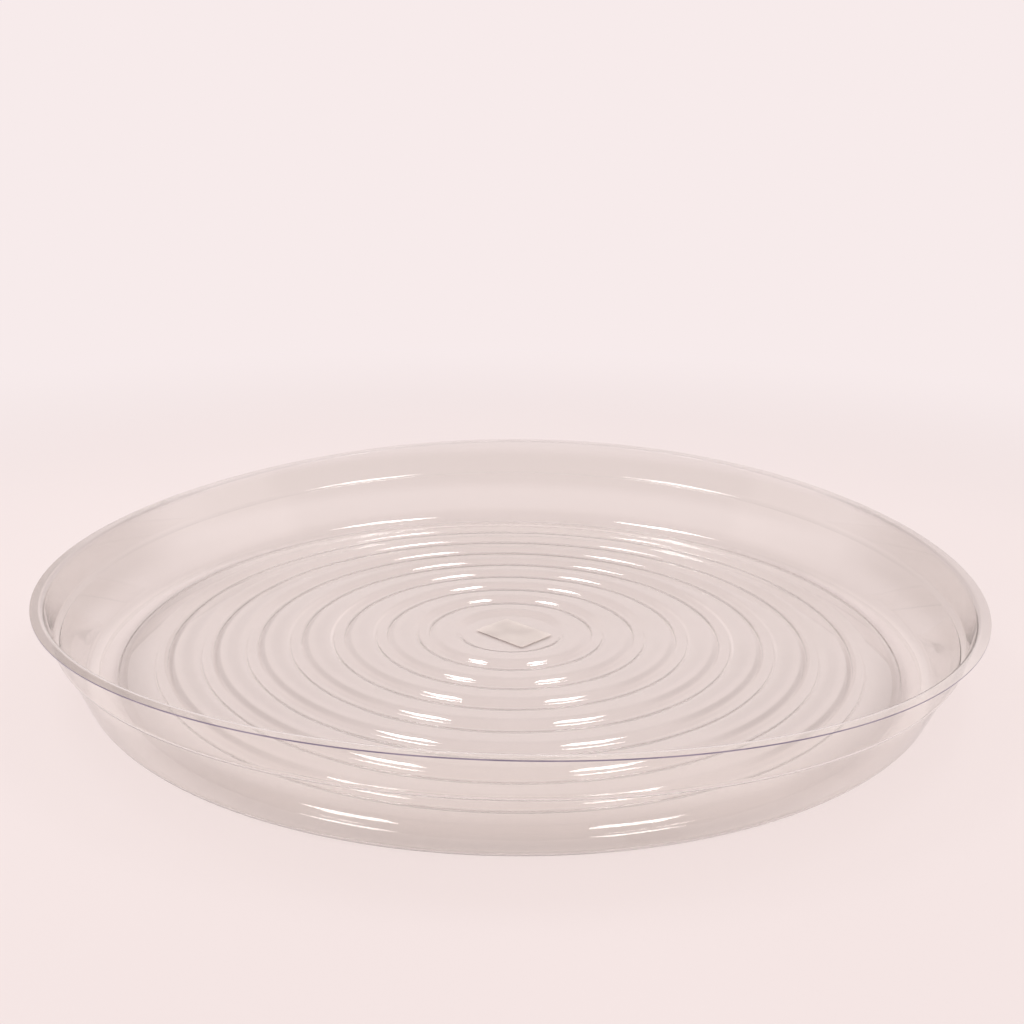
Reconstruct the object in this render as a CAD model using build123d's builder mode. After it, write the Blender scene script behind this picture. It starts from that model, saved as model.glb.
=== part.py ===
"""Clear plant saucer: one round formed sheet with raised pot ribs, and the small label on its centre disc."""
import os
from build123d import *

# The sheet, before and after forming
RIM_DIAMETER = 533.4
HEIGHT = 54
SHEET = 0.6

# Flat-topped ribs that stand the pot clear of the water, with a V groove between each two
RIB_COUNT = 8
RIB_HEIGHT = 2.6
GROOVE_WIDTH = 10.6
CENTRE_DISC_DIAMETER = 54
FLOOR_LIFT = 1

# Standing foot and wall
FOOT_WIDTH = 14
BASE_CORNER_RADIUS = 9
LOWER_WALL_FLARE = 13
LEDGE_HEIGHT = 32
LEDGE_WIDTH = 1.6
LEDGE_RISE = 0.8
UPPER_WALL_FLARE = 3.9

# Flange round the rim
FLANGE_WIDTH = 6
RIM_BEND_RADIUS = 2

# Flat steps that each large bend is formed in, round the base corner and under the flange
BASE_CORNER_STEPS = 3
RIM_BEND_STEPS = 1

# Label on the centre disc
LABEL_LENGTH = 38
LABEL_WIDTH = 27
LABEL_THICKNESS = 0.2
LABEL_CORNER_RADIUS = 1.2
LABEL_OFFSET_X = 2
LABEL_OFFSET_Y = 1
LABEL_TURN = -43

# Heights of the underside
rib_underside = FLOOR_LIFT + RIB_HEIGHT
flange_underside = HEIGHT - SHEET

# Radii from the rim inwards, with the ribs spread evenly between the foot and the centre disc
rim_radius = RIM_DIAMETER / 2
wall_top_radius = rim_radius - FLANGE_WIDTH
ledge_end = wall_top_radius - UPPER_WALL_FLARE
ledge_start = ledge_end - LEDGE_WIDTH
foot_end = ledge_start - LOWER_WALL_FLARE
foot_start = foot_end - FOOT_WIDTH
first_rib_start = CENTRE_DISC_DIAMETER / 2
rib_pitch = (foot_start - first_rib_start) / RIB_COUNT
rib_flank = GROOVE_WIDTH / 2


def stepped_bend(before, corner, after, radius, steps):
    """Points of the bend at corner, set evenly along the arc of that radius that is tangent to both sides."""
    path = FilletPolyline(before, corner, after, radius=radius, mode=Mode.PRIVATE)
    bend = path.edges().filter_by(GeomType.CIRCLE)[0]
    return [bend @ (step / steps) for step in range(steps + 1)]


# The formed sheet, drawn as its underside line and thickened upwards
with BuildPart() as saucer:
    with BuildSketch(Plane.XZ) as section:
        with BuildLine() as underside:
            points = [(0, FLOOR_LIFT)]
            for rib in range(RIB_COUNT):
                rib_start = first_rib_start + rib * rib_pitch
                top_start = rib_start + rib_flank
                top_end = rib_start + rib_pitch - rib_flank
                points += [(rib_start, FLOOR_LIFT), (top_start, rib_underside), (top_end, rib_underside)]
            points += [(foot_start, 0)]
            ledge_foot = (ledge_start, LEDGE_HEIGHT)
            ledge_top = (ledge_end, LEDGE_HEIGHT + LEDGE_RISE)
            wall_top = (wall_top_radius, flange_underside)
            flange_edge = (rim_radius, flange_underside)
            foot = (foot_start, 0), (foot_end, 0)
            points += stepped_bend(*foot, ledge_foot, BASE_CORNER_RADIUS, BASE_CORNER_STEPS)
            points += [ledge_foot, ledge_top]
            points += stepped_bend(ledge_top, wall_top, flange_edge, RIM_BEND_RADIUS, RIM_BEND_STEPS)
            points += [flange_edge]
            Polyline(*points)
            offset(amount=SHEET, kind=Kind.INTERSECTION, side=Side.LEFT)
        make_face()
    revolve(axis=Axis.Z)
saucer.part.label = "saucer"

# The bare label, stuck flat on the centre disc
with BuildPart() as label:
    with BuildSketch(Plane.XY.offset(FLOOR_LIFT + SHEET)):
        with Locations(Location((LABEL_OFFSET_X, LABEL_OFFSET_Y), LABEL_TURN)):
            RectangleRounded(LABEL_LENGTH, LABEL_WIDTH, LABEL_CORNER_RADIUS)
    extrude(amount=LABEL_THICKNESS)
label.part.label = "label"

os.makedirs("parts", exist_ok=True)
for piece in (saucer, label):
    export_step(piece.part, f"parts/{piece.part.label}.step")
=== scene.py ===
"""Clear plant saucer on a pale table: the formed sheet, and the bare label on its centre disc."""
from math import atan2, cos, hypot, pi, radians, sin, tan
import bmesh
import bpy
from mathutils import Matrix, Vector


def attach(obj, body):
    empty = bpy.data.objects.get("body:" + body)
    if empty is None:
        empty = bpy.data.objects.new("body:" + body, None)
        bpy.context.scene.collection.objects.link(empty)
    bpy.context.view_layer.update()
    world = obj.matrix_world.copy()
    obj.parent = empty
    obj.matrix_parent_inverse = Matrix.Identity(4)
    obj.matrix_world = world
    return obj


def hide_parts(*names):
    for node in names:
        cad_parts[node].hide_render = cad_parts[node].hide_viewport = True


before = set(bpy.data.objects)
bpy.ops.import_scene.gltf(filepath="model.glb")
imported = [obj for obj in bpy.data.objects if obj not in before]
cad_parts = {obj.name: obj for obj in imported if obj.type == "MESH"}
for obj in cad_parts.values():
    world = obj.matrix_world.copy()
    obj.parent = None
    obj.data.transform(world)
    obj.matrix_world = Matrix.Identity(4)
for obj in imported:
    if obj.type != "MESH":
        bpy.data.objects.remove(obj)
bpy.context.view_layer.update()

# The saucer is one sheet of clear PET, vacuum-formed over a round tool and cut free by a steel-rule die.
# Eight flat-topped ribs stand the pot above the water, a ledge stiffens the wall, and the rim ends in a
# flat flange. The die leaves the flange's edge square and unpolished. The light led along the sheet shows
# there as a dark violet line, which is painted into the edge's colour.
MM = 0.001
SHEET = 0.6 * MM
RIM_RADIUS = 266.7 * MM
HEIGHT = 54 * MM
FLANGE_WIDTH = 6 * MM
RIM_BEND = 2 * MM
RIM_BEND_STEPS = 6
LEDGE_START = 254.2 * MM
LEDGE_END = 256.9 * MM
LEDGE_HEIGHT = 31.6 * MM
LEDGE_RISE = 1.35 * MM
LEDGE_EDGE = 0.8 * MM
LEDGE_EDGE_STEPS = 4
LEDGE_HOLLOW = 5 * MM
LEDGE_HOLLOW_STEPS = 7
FOOT_START = 228.2 * MM
FOOT_END = 242.2 * MM
BASE_BEND = 9 * MM
BASE_BEND_STEPS = 9
DISC_RADIUS = 27 * MM
FLOOR_LIFT = 1 * MM
RIB_COUNT = 8
RIB_HEIGHT = 2.6 * MM
RIB_TOP_WIDTH = 8.6 * MM
SHOULDER_ANGLE = 50
SHOULDER_STEPS = 6
FIRST_SLOPE = 8 * MM
FIRST_SLOPE_STEPS = 9
SPOKES = 288
SHARP_ANGLE = 50
ON_AXIS = 0.006 * MM
SHARPEST_CORNER = 0.5


def eased(start, end, steps):
    """Points of a soft S from start to end, level at both ends, without the start."""
    points = []
    for step in range(1, steps + 1):
        share = step / steps
        lift = (1 - cos(pi * share)) / 2
        points.append((start[0] + (end[0] - start[0]) * share, start[1] + (end[1] - start[1]) * lift))
    return points


def bent(before, corner, after, radius, steps):
    """Points of the arc that rounds the corner, tangent to both of its sides."""
    arrive = Vector((corner[0] - before[0], corner[1] - before[1])).normalized()
    leave = Vector((after[0] - corner[0], after[1] - corner[1])).normalized()
    turn = atan2(arrive.cross(leave), arrive.dot(leave))
    start = Vector(corner) - arrive * radius * tan(abs(turn) / 2)
    inward = Vector((-arrive.y, arrive.x)) * (1 if turn > 0 else -1)
    centre = start + inward * radius
    points = []
    for step in range(steps + 1):
        angle = abs(turn) * step / steps
        points.append(tuple(centre - inward * radius * cos(angle) + arrive * radius * sin(angle)))
    return points


def thickened(line, amount):
    """The line's points moved sideways by the amount, each along the mean of its two sides' normals."""
    moved = []
    for at, point in enumerate(line):
        before, after = line[max(at - 1, 0)], line[min(at + 1, len(line) - 1)]
        first = Vector((point[0] - before[0], point[1] - before[1]))
        second = Vector((after[0] - point[0], after[1] - point[1]))
        first = first.normalized() if first.length else second.normalized()
        second = second.normalized() if second.length else first
        mean = (first + second).normalized()
        reach = amount / max(mean.dot(first), SHARPEST_CORNER)
        moved.append((max(point[0] - mean.y * reach, 0), point[1] + mean.x * reach))
    return moved


def spun(name, line, spokes):
    """A mesh object of the line of radius and height points, spun round the Z axis."""
    work = bmesh.new()
    turns = [2 * pi * spoke / spokes for spoke in range(spokes)]
    rings = []
    for radius, height in line:
        if radius < ON_AXIS:
            rings.append([work.verts.new((0, 0, height))] * spokes)
        else:
            ring = [(radius * cos(turn), radius * sin(turn), height) for turn in turns]
            rings.append([work.verts.new(point) for point in ring])
    for inner, outer in zip(rings, rings[1:]):
        for spoke in range(spokes):
            after = (spoke + 1) % spokes
            corners = []
            for corner in (inner[spoke], inner[after], outer[after], outer[spoke]):
                if corner not in corners:
                    corners.append(corner)
            work.faces.new(corners).smooth = True
    bmesh.ops.recalc_face_normals(work, faces=work.faces)
    return mesh_object(name, work, SHARP_ANGLE)


def mesh_object(name, work, sharp_angle):
    """The finished mesh as an object of the scene, smooth but for edges sharper than the angle."""
    mesh = bpy.data.meshes.new(name)
    work.to_mesh(mesh)
    work.free()
    mesh.set_sharp_from_angle(angle=radians(sharp_angle))
    piece = bpy.data.objects.new(name, mesh)
    bpy.context.scene.collection.objects.link(piece)
    return piece


class Wire:
    """A socket of a material's nodes. Operators on wires add the Math nodes that do the sum."""

    def __init__(self, tree, socket=None):
        self.tree = tree
        self.socket = socket

    def node(self, kind, settings=None, sockets=None, output=0):
        """Adds a node of that type, sets its settings, fills its sockets and returns one output."""
        made = self.tree.nodes.new("ShaderNode" + kind)
        for name, value in (settings or {}).items():
            setattr(made, name, value)
        for name, value in (sockets or {}).items():
            if isinstance(value, Wire):
                self.tree.links.new(value.socket, made.inputs[name])
            else:
                made.inputs[name].default_value = value
        return Wire(self.tree, made.outputs[output]) if made.outputs else None

    def maths(self, operation, first, second=0.0):
        """The Math node of that operation on two values, each of them a wire or a number."""
        return self.node("Math", {"operation": operation}, {0: first, 1: second})

    def __add__(self, other):
        return self.maths("ADD", self, other)

    def __radd__(self, other):
        return self.maths("ADD", other, self)

    def __sub__(self, other):
        return self.maths("SUBTRACT", self, other)

    def __rsub__(self, other):
        return self.maths("SUBTRACT", other, self)

    def __mul__(self, other):
        return self.maths("MULTIPLY", self, other)

    def __rmul__(self, other):
        return self.maths("MULTIPLY", other, self)

    def __truediv__(self, other):
        return self.maths("DIVIDE", self, other)

    def __rtruediv__(self, other):
        return self.maths("DIVIDE", other, self)

    def __pow__(self, other):
        return self.maths("POWER", self, other)

    def __rpow__(self, other):
        return self.maths("POWER", other, self)

    def __abs__(self):
        return self.maths("ABSOLUTE", self)

    def larger(self, other):
        """This value or the other, whichever is larger."""
        return self.maths("MAXIMUM", self, other)

    def clamped(self):
        """This value, kept from 0 to 1."""
        return self.node("Clamp", {}, {"Value": self})

    def over(self, low, high):
        """How far this value is from low to high, eased, from 0 to 1."""
        return self.node("MapRange", {"interpolation_type": "SMOOTHSTEP"},
                         {"Value": self, "From Min": low, "From Max": high})

    def near(self, place, flat, fade):
        """1 within the flat distance of a place, eased down to 0 at the fade distance from it."""
        return 1 - abs(self - place).over(flat, fade)

    def tint(self, none, full):
        """The colour between two others that this value chooses."""
        return self.node("Mix", {"data_type": "RGBA"}, {"Factor": self, "A": none, "B": full}, 2)


def material(name):
    """A new empty material, and a wire to add its nodes from."""
    made = bpy.data.materials.new(name)
    made.use_nodes = True
    made.node_tree.nodes.clear()
    return made, Wire(made.node_tree)


def split(vector):
    """Wires to the three parts of a vector."""
    parts = vector.node("SeparateXYZ", {}, {"Vector": vector}).socket.node.outputs
    return [Wire(vector.tree, part) for part in parts]


def noise(place, scale, detail, roughness=0.5):
    """A wire to noise of that scale and detail at the place."""
    sockets = {"Vector": place, "Scale": scale, "Detail": detail, "Roughness": roughness}
    return place.node("TexNoise", {}, sockets)


def rays(nodes, kind):
    """1 for the light's rays of that kind, and 0 for all others."""
    return nodes.node("LightPath", output=f"Is {kind} Ray")


def mm(*lengths):
    """The lengths, given in millimetres, in metres."""
    return tuple(length * MM for length in lengths)


wall_top = (RIM_RADIUS - FLANGE_WIDTH, HEIGHT - SHEET)
flange_edge = (RIM_RADIUS, HEIGHT - SHEET)
ledge_foot = (LEDGE_START, LEDGE_HEIGHT)
ledge_top = (LEDGE_END, LEDGE_HEIGHT + LEDGE_RISE)
underside = [(0, FLOOR_LIFT), (DISC_RADIUS / 2, FLOOR_LIFT)]
rib_pitch = (FOOT_START - DISC_RADIUS) / RIB_COUNT
rib_top = FLOOR_LIFT + RIB_HEIGHT
shoulder = RIB_HEIGHT / (1 - cos(radians(SHOULDER_ANGLE)))
shoulder_turns = [radians(SHOULDER_ANGLE) * step / SHOULDER_STEPS for step in range(SHOULDER_STEPS + 1)]
drops = [(shoulder * sin(turn), rib_top - shoulder * (1 - cos(turn))) for turn in shoulder_turns]
for rib in range(RIB_COUNT):
    middle = DISC_RADIUS + (rib + 0.5) * rib_pitch
    top_start = middle - RIB_TOP_WIDTH / 2
    top_end = middle + RIB_TOP_WIDTH / 2
    if rib:
        underside += [(top_start - out, level) for out, level in reversed(drops)]
    else:
        slope_start = (top_start - FIRST_SLOPE, FLOOR_LIFT)
        underside += [slope_start] + eased(slope_start, (top_start, rib_top), FIRST_SLOPE_STEPS)
    underside += [(middle, rib_top)] + [(top_end + out, level) for out, level in drops]
underside += [(underside[-1][0] + FLOOR_LIFT, 0), ((FOOT_START + FOOT_END) / 2, 0)]
underside += bent((FOOT_START, 0), (FOOT_END, 0), ledge_foot, BASE_BEND, BASE_BEND_STEPS)
underside += bent((FOOT_END, 0), ledge_foot, ledge_top, LEDGE_EDGE, LEDGE_EDGE_STEPS)
underside += bent(ledge_foot, ledge_top, wall_top, LEDGE_HOLLOW, LEDGE_HOLLOW_STEPS)
underside += bent(ledge_top, wall_top, flange_edge, RIM_BEND, RIM_BEND_STEPS) + [flange_edge]
section = underside + thickened(underside, SHEET)[::-1]
saucer = spun("saucer_sheet", section, SPOKES)

# The thin wall flexes a little, as it does in such a wide thin sheet: the rim dips at the sides and rises
# at the front and back, while the base stays flat on the table.
RIM_FLEX = 5.7 * MM
RIM_TWIST = 1.9 * MM
for vertex in saucer.data.vertices:
    if hypot(vertex.co.x, vertex.co.y) > FOOT_START:
        turn = atan2(vertex.co.y, vertex.co.x)
        vertex.co.z *= 1 + (RIM_TWIST * sin(2 * turn) - RIM_FLEX * cos(2 * turn)) / HEIGHT

# Clear PET lets the light through, with a faint warm grey tint in the sheet, soft waves from the forming
# and fine handling scuffs that break up the gloss. Painted shade and painted highlights are laid on that
# tint, by the formed shape and the side of the saucer, where the sheet looks darker or brighter in the
# light.
CLEAR_IOR = 1.57
WAVE_SCALE = 14
WAVE_DETAIL = 2
WAVE_RANGE = (0.35, 0.65)
WAVE_STRENGTH = 0.05
SCUFF_SCALE = 220
SCUFF_DETAIL = 4
SCUFF_ROUGHNESS = 0.7
SCUFF_RANGE = (0.55, 0.8)
POLISH = 0.02
SCUFF_DULLING = 0.04
PASSING_TINT = (0.955, 0.95, 0.945, 1)
SHEET_TINTS = ((0.885, 0.865, 0.845, 1), (0.90, 0.88, 0.862, 1))
clear, nodes = material("clear_pet")
place = nodes.node("TexCoord", output="Object")
across, along, height = split(place)
distance = (across * across + along * along) ** 0.5
rightward = across / distance.larger(1 * MM)
farward = along / distance.larger(1 * MM)
waves = noise(place, WAVE_SCALE, WAVE_DETAIL)
scuffs = noise(place, SCUFF_SCALE, SCUFF_DETAIL, SCUFF_ROUGHNESS)
sheet_tone_and_painted_light = waves.over(*WAVE_RANGE).tint(*SHEET_TINTS)


def towards(right, far, low, high):
    """How much a place lies to one side of the saucer, from 0 to 1, by that side's two parts."""
    return (rightward * right + farward * far).over(low, high)


# Painted shade and painted highlights on the ribs and the base: the sheet is painted darker where it is
# seen edge-on and on the shoulders at the left and right, and painted brighter where the ribs' inner edges
# and the base corner catch the light. A side is given by its two parts and the range where it sets in,
# and a place by its distance and the flat and the faded width on each side of it.
EDGE_ON_PAINTED_SHADE = (0.6, 0.57, 0.55, 1)
SHOULDER_PAINTED_SHADE = (0.71, 0.685, 0.67, 1)
PAINTED_HIGHLIGHT_TINT = (1, 0.985, 0.965, 1)
EDGE_ON_RANGE = (0.66, 1)
EDGE_ON_LESS_ON_RIBS = 0.6
SHADED_LEFT = (-0.95, -0.3, 0.55, 1)
SHADED_RIGHT = (0.87, -0.5, 0.88, 1)
RIBS_END = (FOOT_START + 1 * MM, FOOT_START + 2 * MM)
SHOULDER_PLACE = mm(19.6, 0.5, 2.4)
TOP_PLACE = mm(11, 1, 5)
TOP_SHARE = 0.3
FOOT_RISE = mm(205, 226)
FOOT_FALL = mm(226, 233)
SHOULDER_GROWTH = mm(0, 200)
SIDE_RANGE = (0.8, 1)
INNER_EDGE_PLACE = mm(4.7, 0.1, 1.2)
LIT_SHIFT = 13 * MM
LIT_RISE = mm(75, 115)
LIT_FALL = mm(127, 160)
CORNER_PLACE = mm(235, 2, 8)
WALL_RISE = mm(6, 24)
edge_on = nodes.node("LayerWeight", output="Facing").over(*EDGE_ON_RANGE)
past_groove = nodes.maths("FRACT", (distance - DISC_RADIUS) / rib_pitch) * rib_pitch
on_ribs = 1 - distance.over(*RIBS_END)
# Painted shade: the sheet is darker where it is seen edge-on, less so on the ribs.
sheet_tone_and_painted_light = (edge_on * (1 - on_ribs * EDGE_ON_LESS_ON_RIBS)).tint(sheet_tone_and_painted_light, EDGE_ON_PAINTED_SHADE)
on_shoulder = past_groove.near(*SHOULDER_PLACE) * on_ribs
on_top = past_groove.near(*TOP_PLACE) * on_ribs
by_foot = distance.over(*FOOT_RISE) * (1 - distance.over(*FOOT_FALL))
# Painted shade in bands on the shoulders, rib tops and by the foot, at the left and right, growing outward.
painted_shade_bands = on_shoulder.larger(by_foot).larger(on_top * TOP_SHARE)
painted_shade_bands = painted_shade_bands * (towards(*SHADED_LEFT) + towards(*SHADED_RIGHT)) * distance.over(*SHOULDER_GROWTH)
sheet_tone_and_painted_light = painted_shade_bands.tint(sheet_tone_and_painted_light, SHOULDER_PAINTED_SHADE)
on_wall = height.over(*WALL_RISE)
beside = abs(rightward).over(*SIDE_RANGE)
# Painted highlight on the ribs' inner edges and on the base corner, at the left and right.
lit_place = distance - rightward * LIT_SHIFT
lit_edge = past_groove.near(*INNER_EDGE_PLACE) * beside
lit_edge = lit_edge * lit_place.over(*LIT_RISE) * (1 - lit_place.over(*LIT_FALL))
lit_edge = lit_edge.larger(distance.near(*CORNER_PLACE) * beside * (1 - on_wall))
sheet_tone_and_painted_light = lit_edge.tint(sheet_tone_and_painted_light, PAINTED_HIGHLIGHT_TINT)

# Painted shade and painted light on the wall, the base under it and the flange, by the side and by height.
SIDE_WALL_PAINTED_SHADE = (0.75, 0.72, 0.695, 1)
FAR_WALL_PAINTED_SHADE = (0.865, 0.845, 0.82, 1)
FAR_FLOOR_PAINTED_LIGHT = (0.95, 0.935, 0.915, 1)
NEAR_WALL_PAINTED_LIGHT = (1, 0.99, 0.975, 1)
NEAR_BASE_PAINTED_SHADE = (0.79, 0.775, 0.76, 1)
SIDE_BASE_PAINTED_SHADE = (0.74, 0.715, 0.695, 1)
SIDE_FLANGE_PAINTED_SHADE = (0.80, 0.775, 0.76, 1)
LEFT_FLANGE_PAINTED_SHADE = (0.62, 0.585, 0.56, 1)
BEND_PAINTED_SHADE = (0.68, 0.65, 0.64, 1)
FULL_SIDE_RANGE = (0.87, 1)
FAR_SIDE = (0, 1, 0.3, 0.8)
NEAR_SIDE = (0, -1, 0.3, 0.8)
NEAREST_SIDE = (0, -1, 0.7, 1)
LEFT_NEAR_SIDE = (-0.9, -0.45, 0.75, 0.98)
UPPER_RISE = mm(20, 34)
UPPER_FALL = mm(46, 54)
LOWER_RISE = mm(4, 10)
LOWER_FALL = mm(20, 30)
LOWER_SHARE = 0.7
TOP_RISE = mm(49, 58)
OUTER_RIBS = mm(130, 215)
BASE_FALL = mm(5, 24)
BASE_OUT = mm(240, 243)
SIDE_BASE_SHARE = 0.25
FLANGE_OUT = mm(262, 263)
BEND_PLACE = mm(261, 0.3, 1)
on_upper = height.over(*UPPER_RISE)
mid_wall = on_upper * (1 - height.over(*UPPER_FALL))
lower = height.over(*LOWER_RISE) * (1 - height.over(*LOWER_FALL)) * LOWER_SHARE
lower = lower.larger(height.over(*TOP_RISE)).larger(on_ribs * distance.over(*OUTER_RIBS))
under_wall = (1 - height.over(*BASE_FALL)) * distance.over(*BASE_OUT)
on_flange = distance.over(*FLANGE_OUT)
# Each share lays painted shade on the sheet, or painted light on the near wall and the low far side.
for share, colour in (
        (on_wall * abs(rightward).over(*FULL_SIDE_RANGE), SIDE_WALL_PAINTED_SHADE),
        (towards(*FAR_SIDE) * mid_wall, FAR_WALL_PAINTED_SHADE),
        (towards(*FAR_SIDE) * lower, FAR_FLOOR_PAINTED_LIGHT),
        (towards(*NEAR_SIDE) * on_upper, NEAR_WALL_PAINTED_LIGHT),
        (towards(*NEAREST_SIDE) * under_wall, NEAR_BASE_PAINTED_SHADE),
        (under_wall * beside * SIDE_BASE_SHARE, SIDE_BASE_PAINTED_SHADE),
        (on_flange * beside, SIDE_FLANGE_PAINTED_SHADE),
        (on_flange * towards(*LEFT_NEAR_SIDE), LEFT_FLANGE_PAINTED_SHADE),
        (distance.near(*BEND_PLACE) * on_wall * beside, BEND_PAINTED_SHADE)):
    sheet_tone_and_painted_light = share.tint(sheet_tone_and_painted_light, colour)

# Lamplight and the glow of the table pass straight through the sheet, and so does most of the view at
# the thin far rim.
FAR_RIM_SIDE = (0, 1, 0.2, 0.6)
FAR_RIM_OUT = mm(259.5, 260.5)
FAR_RIM_RISE = mm(40, 50)
FAR_RIM_SHARE = 0.85
ripple = nodes.node("Bump", {}, {"Strength": WAVE_STRENGTH, "Distance": 1 * MM, "Height": waves})
plastic = nodes.node("BsdfPrincipled", {}, {
    "Base Color": sheet_tone_and_painted_light, "Roughness": POLISH + scuffs.over(*SCUFF_RANGE) * SCUFF_DULLING,
    "IOR": CLEAR_IOR, "Transmission Weight": 1, "Normal": ripple})
far_rim = distance.over(*FAR_RIM_OUT) * towards(*FAR_RIM_SIDE) * height.over(*FAR_RIM_RISE) * FAR_RIM_SHARE
let_through = (rays(nodes, "Shadow") + rays(nodes, "Diffuse") + far_rim).clamped()
passing = nodes.node("BsdfTransparent", {}, {"Color": PASSING_TINT})
surface = nodes.node("MixShader", {}, {0: let_through, 1: plastic, 2: passing})
nodes.node("OutputMaterial", {}, {"Surface": surface})

# The die's cut leaves the flange's edge square and unpolished, so the light that the sheet leads to it
# comes out there with a violet tone. That dark violet light is painted into the edge's colour.
EDGE_PAINTED_LIGHT_TINTS = ((0.24, 0.205, 0.30, 1), (0.33, 0.285, 0.38, 1))
EDGE_INSIDE_TINT = (0.88, 0.83, 0.83, 1)
EDGE_INSIDE_CLEAR = 0.8
EDGE_MARK_SCALE = 60
EDGE_MARK_DETAIL = 3
EDGE_MARK_RANGE = (0.4, 0.6)
EDGE_ROUGHNESS = 0.35
cut, nodes = material("cut_edge")
marks = noise(nodes.node("TexCoord", output="Object"), EDGE_MARK_SCALE, EDGE_MARK_DETAIL)
inside = nodes.node("NewGeometry", output="Backfacing")
# Painted light: the edge shows dark violet from outside, and paler and mostly clear from inside.
edge_painted_colour = inside.tint(marks.over(*EDGE_MARK_RANGE).tint(*EDGE_PAINTED_LIGHT_TINTS), EDGE_INSIDE_TINT)
edge = nodes.node("BsdfPrincipled", {}, {
    "Base Color": edge_painted_colour, "Roughness": EDGE_ROUGHNESS, "IOR": CLEAR_IOR,
    "Alpha": 1 - inside * EDGE_INSIDE_CLEAR})
nodes.node("OutputMaterial", {}, {"Surface": edge})

saucer.data.materials.append(clear)
saucer.data.materials.append(cut)
for face in saucer.data.polygons:
    if abs(hypot(face.center.x, face.center.y) - RIM_RADIUS) < SHEET / 4:
        face.material_index = 1
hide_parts("saucer")
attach(saucer, "root")

# The label is a small rectangle of thin matt film with a glued back. It was die-cut from a roll, and is
# pressed by hand on the centre disc, so it lies a little askew and waves slightly. It is left bare.
LABEL_LENGTH = 38 * MM
LABEL_WIDTH = 27 * MM
LABEL_THICKNESS = 0.2 * MM
LABEL_CORNER = 1.2 * MM
LABEL_GLUE = 0.02 * MM
LABEL_CENTRE = (2 * MM, 1 * MM)
LABEL_TURN = -43
LABEL_ROWS = 27
LABEL_COLUMNS = 38
LABEL_WAVE = 0.14
LABEL_WAVE_START = 1
LABEL_WAVES_ALONG = 260
LABEL_WAVES_ACROSS = 310
LABEL_SHARP_ANGLE = 40
LABEL_TINTS = ((0.80, 0.72, 0.68, 1), (0.94, 0.86, 0.81, 1))
LABEL_TINT_RANGE = (0.3, 0.7)
LABEL_COVER = 0.62
LABEL_ROUGHNESS = 0.5
FIBRE_SCALE = 900
FIBRE_DETAIL = 4
FIBRE_ROUGHNESS = 0.65
FIBRE_SHARE = 0.3
FIBRE_DULLING = 0.2
FIBRE_HEIGHT = 0.1 * MM
FIBRE_STRENGTH = 0.3
PATCH_SCALE = 60
PATCH_DETAIL = 1
PATCH_SHARE = 0.7


def rounded(x, y, length, width, corner):
    """The point of a rectangle's grid, pulled in where it lies outside a round corner."""
    over_x = abs(x) - (length / 2 - corner)
    over_y = abs(y) - (width / 2 - corner)
    if over_x <= 0 or over_y <= 0 or hypot(over_x, over_y) <= corner:
        return x, y
    shrink = corner / hypot(over_x, over_y)
    x = (length / 2 - corner + over_x * shrink) * (1 if x > 0 else -1)
    y = (width / 2 - corner + over_y * shrink) * (1 if y > 0 else -1)
    return x, y


def film(name, length, width, thickness, corner, columns, rows):
    """A flat film with round corners, gridded so that its top can wave a little, as a mesh object."""
    work = bmesh.new()
    layers = []
    for level in (0, 1):
        grid = []
        for row in range(rows + 1):
            line = []
            for column in range(columns + 1):
                x, y = rounded((column / columns - 0.5) * length, (row / rows - 0.5) * width,
                               length, width, corner)
                wave = sin(x * LABEL_WAVES_ALONG + LABEL_WAVE_START) * cos(y * LABEL_WAVES_ACROSS)
                lift = level * thickness * (1 - LABEL_WAVE + LABEL_WAVE * wave)
                line.append(work.verts.new((x, y, lift)))
            grid.append(line)
        layers.append(grid)
    for level, grid in enumerate(layers):
        for row in range(rows):
            for column in range(columns):
                corners = [grid[row][column], grid[row][column + 1],
                           grid[row + 1][column + 1], grid[row + 1][column]]
                work.faces.new(corners if level else corners[::-1])
    low, high = layers
    border = [(0, column) for column in range(columns)]
    border += [(row, columns) for row in range(rows)]
    border += [(rows, columns - column) for column in range(columns)]
    border += [(rows - row, 0) for row in range(rows)]
    for (row, column), (row_after, column_after) in zip(border, border[1:] + border[:1]):
        work.faces.new([low[row][column], low[row_after][column_after],
                        high[row_after][column_after], high[row][column]])
    for face in work.faces:
        face.smooth = True
    return mesh_object(name, work, LABEL_SHARP_ANGLE)


label = film("label_film", LABEL_LENGTH, LABEL_WIDTH, LABEL_THICKNESS, LABEL_CORNER,
             LABEL_COLUMNS, LABEL_ROWS)
label.data.transform(Matrix.Translation((*LABEL_CENTRE, FLOOR_LIFT + SHEET + LABEL_GLUE))
                     @ Matrix.Rotation(radians(LABEL_TURN), 4, "Z"))
matt, nodes = material("label_film")
place = nodes.node("TexCoord", output="Object")
fibres = noise(place, FIBRE_SCALE, FIBRE_DETAIL, FIBRE_ROUGHNESS)
patches = noise(place, PATCH_SCALE, PATCH_DETAIL)
label_shade = patches * PATCH_SHARE + fibres * FIBRE_SHARE
grain = nodes.node("Bump", {}, {"Strength": FIBRE_STRENGTH, "Distance": FIBRE_HEIGHT, "Height": fibres})
paper = nodes.node("BsdfPrincipled", {}, {
    "Base Color": label_shade.over(*LABEL_TINT_RANGE).tint(*LABEL_TINTS), "Alpha": LABEL_COVER,
    "Roughness": LABEL_ROUGHNESS + fibres * FIBRE_DULLING, "Normal": grain})
nodes.node("OutputMaterial", {}, {"Surface": paper})
label.data.materials.append(matt)
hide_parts("label")
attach(label, "root")

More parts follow.
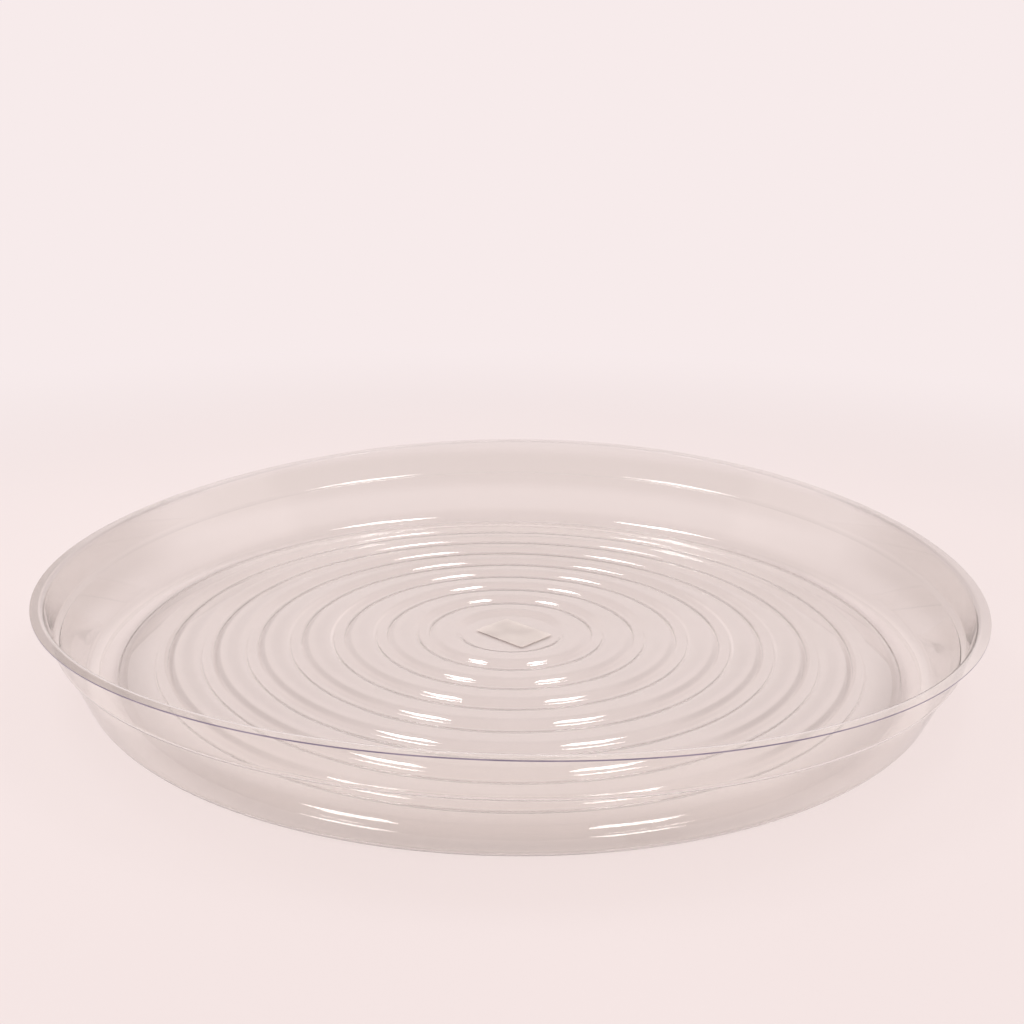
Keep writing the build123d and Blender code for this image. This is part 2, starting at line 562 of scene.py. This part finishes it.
# The saucer stands on a wide pale painted table. It fades evenly into the backdrop's colour, so that the
# backdrop has no edge from any side.
TABLE_RADIUS = 9
TABLE_SPOKES = 96
FADE_START = 0.3
FADE_END = 1.1
BACKDROP = (0.93, 0.831, 0.831, 1)
TABLE_TINTS = ((0.847, 0.774, 0.764, 1), (0.857, 0.784, 0.774, 1))
TABLE_ROUGHNESS = 0.8
TABLE_SPECULAR = 0.2
MOTTLE_SCALE = 3
MOTTLE_DETAIL = 2
MOTTLE_RANGE = (0.3, 0.7)
table = spun("pale_table", [(TABLE_RADIUS, 0), (FADE_END, 0), (FADE_START, 0), (0, 0)], TABLE_SPOKES)
pale, nodes = material("pale_table")
place = nodes.node("TexCoord", output="Object")
across, along = split(place)[:2]
mottle = noise(place, MOTTLE_SCALE, MOTTLE_DETAIL)
board = nodes.node("BsdfPrincipled", {}, {
    "Base Color": mottle.over(*MOTTLE_RANGE).tint(*TABLE_TINTS), "Roughness": TABLE_ROUGHNESS,
    "Specular IOR Level": TABLE_SPECULAR})
backdrop = nodes.node("Emission", {}, {"Color": BACKDROP})
faded = ((across * across + along * along) ** 0.5).over(FADE_START, FADE_END)
surface = nodes.node("MixShader", {}, {0: faded, 1: board, 2: backdrop})
nodes.node("OutputMaterial", {}, {"Surface": surface})
table.data.materials.append(pale)

# Two long soft lamps hang over the table, one on each side, and are turned down to the saucer. Between
# them the ceiling is dim, and the light comes mostly from the bright backdrop all round.
LAMP_WIDTH = 0.36
LAMP_LENGTH = 0.5
LAMP_POWER = 6
LAMP_COLOUR = (1, 0.985, 0.98)
LAMP_PLACES = (("left", (-0.65, 0.07, 1.56)), ("right", (0.53, 0.05, 1.62)))
CEILING = (0.64, 0.61, 0.605, 1)
CEILING_RISE = (0.3, 0.8)
ROOM = (0.24, 0.22, 0.21, 1)
WALL = (0.80, 0.72, 0.70, 1)
WALL_START = (-0.34, -0.2)
WALL_TOP = (0.45, 0.75)
for side, lamp_place in LAMP_PLACES:
    data = bpy.data.lights.new("lamp_" + side, "AREA")
    data.shape = "RECTANGLE"
    data.size = LAMP_WIDTH
    data.size_y = LAMP_LENGTH
    data.energy = LAMP_POWER
    data.color = LAMP_COLOUR
    lamp = bpy.data.objects.new("lamp_" + side, data)
    lamp.location = lamp_place
    lamp.rotation_euler = (0, atan2(lamp_place[0], lamp_place[2]), 0)
    bpy.context.scene.collection.objects.link(lamp)
world = bpy.data.worlds.new("backdrop")
world.use_nodes = True
world.node_tree.nodes.clear()
nodes = Wire(world.node_tree)
across, along, rise = split(nodes.node("TexCoord", output="Generated"))
light = rise.over(*CEILING_RISE).tint(BACKDROP, CEILING)
mirrored = (along.over(*WALL_START) * (1 - rise.over(*WALL_TOP))).tint(ROOM, WALL)
light = rays(nodes, "Glossy").tint(light, mirrored)
seen = rays(nodes, "Camera") + rays(nodes, "Transmission")
light = seen.clamped().tint(light, BACKDROP)
nodes.node("OutputWorld", {}, {"Surface": nodes.node("Background", {}, {"Color": light})})
bpy.context.scene.world = world

# The camera stands in front of the saucer and looks down on it from the photograph's height and angle,
# rolled a little to one side as the photograph is.
CAMERA_PLACE = (0, -677 * MM, 280.1 * MM)
CAMERA_PITCH = 16.61
CAMERA_ROLL = 0.71
CAMERA_SENSOR = 36
CAMERA_NEAREST = 0.01
PHOTO_WIDTH = 1024
PHOTO_FOCAL_LENGTH = 1204.2
camera_data = bpy.data.cameras.new("camera")
camera_data.sensor_width = CAMERA_SENSOR
camera_data.lens = PHOTO_FOCAL_LENGTH / PHOTO_WIDTH * CAMERA_SENSOR
camera_data.clip_start = CAMERA_NEAREST
camera = bpy.data.objects.new("camera", camera_data)
camera.matrix_world = (Matrix.Translation(CAMERA_PLACE) @ Matrix.Rotation(radians(90 - CAMERA_PITCH), 4, "X")
                       @ Matrix.Rotation(radians(CAMERA_ROLL), 4, "Z"))
bpy.context.scene.collection.objects.link(camera)
bpy.context.scene.camera = camera
bpy.context.scene.view_settings.view_transform = "Standard"
